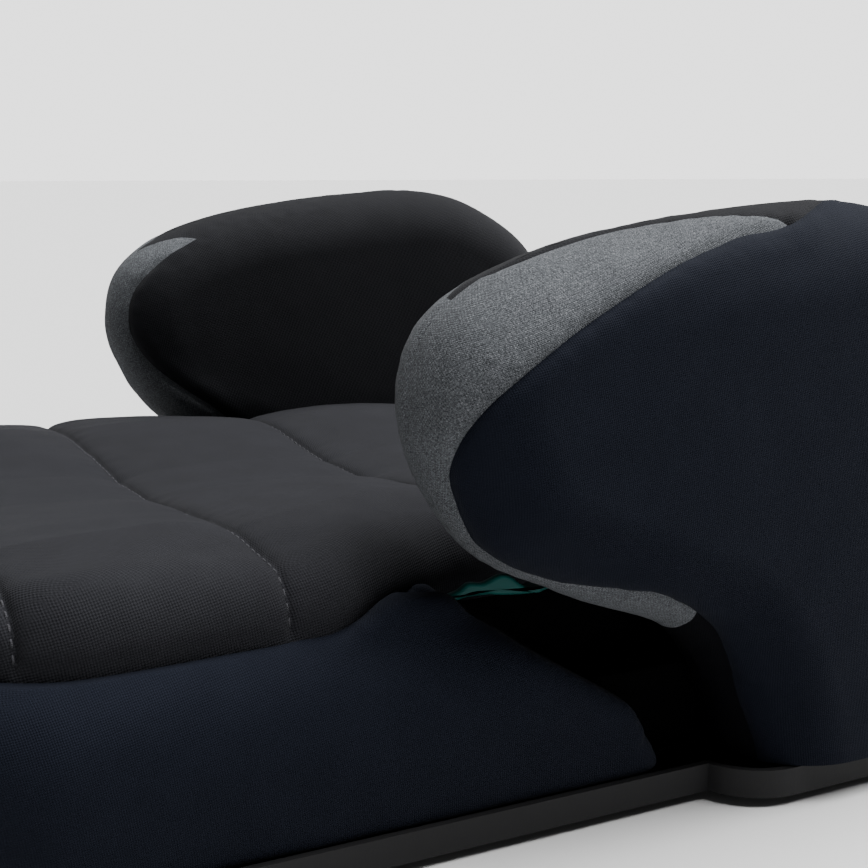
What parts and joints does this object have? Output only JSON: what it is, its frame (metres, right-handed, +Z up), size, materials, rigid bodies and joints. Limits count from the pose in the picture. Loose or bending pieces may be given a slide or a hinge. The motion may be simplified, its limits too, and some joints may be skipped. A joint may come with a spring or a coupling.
{
  "type": "booster seat",
  "caption": "Backless child car booster seat with a quilted cushion, padded wrap-around armrests, lap-belt guides and sliding anchor connectors.",
  "frame": {"origin": "on the floor, under the centre of the seat's bounding box", "axes": "+Z up, -Y the seat's front edge, +X the sitting child's left"},
  "size_m": [0.416, 0.4356, 0.2277],
  "materials": {
    "black_plastic": "fine moulded grain",
    "zinc_steel": "bright zinc plate",
    "foot_rubber": "soft matte",
    "foam": "grey foam",
    "navy_weave": "dark navy weave",
    "charcoal_knit": "charcoal fine knit, quilted",
    "black_knit": "black fine knit",
    "grey_melange": "grey melange tweed",
    "teal_plastic": "smooth teal"
  },
  "bodies": {
    "seat": {"base_pan": "black_plastic", "mechanism_lid": "black_plastic", "lid_screws": "zinc_steel", "rubber_feet": "foot_rubber", "seat_core": "foam", "seat_side_cover": "navy_weave", "pad_foam": "foam", "quilted_cover": "charcoal_knit", "belt_guide_left": "teal_plastic", "belt_guide_right": "teal_plastic", "guide_pins": "zinc_steel", "arm_outer_panel_left": "navy_weave", "arm_outer_panel_right": "navy_weave", "arm_stripe_left": "grey_melange", "arm_stripe_right": "grey_melange", "arm_inner_panel_left": "black_knit", "arm_inner_panel_right": "black_knit", "arm_frame_left": "black_plastic", "arm_frame_right": "black_plastic", "arm_core_left": "foam", "arm_core_right": "foam", "arm_screws": "zinc_steel", "lever_pin": "zinc_steel", "lever_spring": "zinc_steel"},
    "connector_carriage": {"connector_tube_left": "zinc_steel", "connector_tube_right": "zinc_steel", "crossbar": "zinc_steel", "lock_bar": "zinc_steel", "latch_housing_left": "black_plastic", "latch_housing_right": "black_plastic", "housing_pins": "zinc_steel"},
    "jaw_left": {"latch_jaw_left": "zinc_steel"},
    "jaw_right": {"latch_jaw_right": "zinc_steel"},
    "button_left": {"release_button_left": "teal_plastic"},
    "button_right": {"release_button_right": "teal_plastic"},
    "lever": {"release_lever": "teal_plastic"}
  },
  "joints": [
    {"name": "connector_slide", "type": "slide", "parent": "seat", "child": "connector_carriage", "axis": [0, 1, 0], "range_m": [0, 0.11]},
    {"name": "button_left_slide", "type": "slide", "parent": "connector_carriage", "child": "button_left", "axis": [0, -1, 0], "range_m": [0, 0.005]},
    {"name": "jaw_left_turn", "type": "hinge", "parent": "connector_carriage", "child": "jaw_left", "pos_m": [0.14, 0.178, 0.028], "axis": [1, 0, 0], "range_deg": [0, 12]},
    {"name": "button_right_slide", "type": "slide", "parent": "connector_carriage", "child": "button_right", "axis": [0, -1, 0], "range_m": [0, 0.005]},
    {"name": "jaw_right_turn", "type": "hinge", "parent": "connector_carriage", "child": "jaw_right", "pos_m": [-0.14, 0.178, 0.028], "axis": [1, 0, 0], "range_deg": [0, 12]},
    {"name": "lever_turn", "type": "hinge", "parent": "seat", "child": "lever", "pos_m": [0, -0.04, 0.0155], "axis": [-1, 0, 0], "range_deg": [0, 4]}
  ],
  "couplings": [
    {"joint": "jaw_left_turn", "follows": "button_left_slide", "rad_per_m": 41.888},
    {"joint": "jaw_right_turn", "follows": "button_right_slide", "rad_per_m": 41.888}
  ]
}
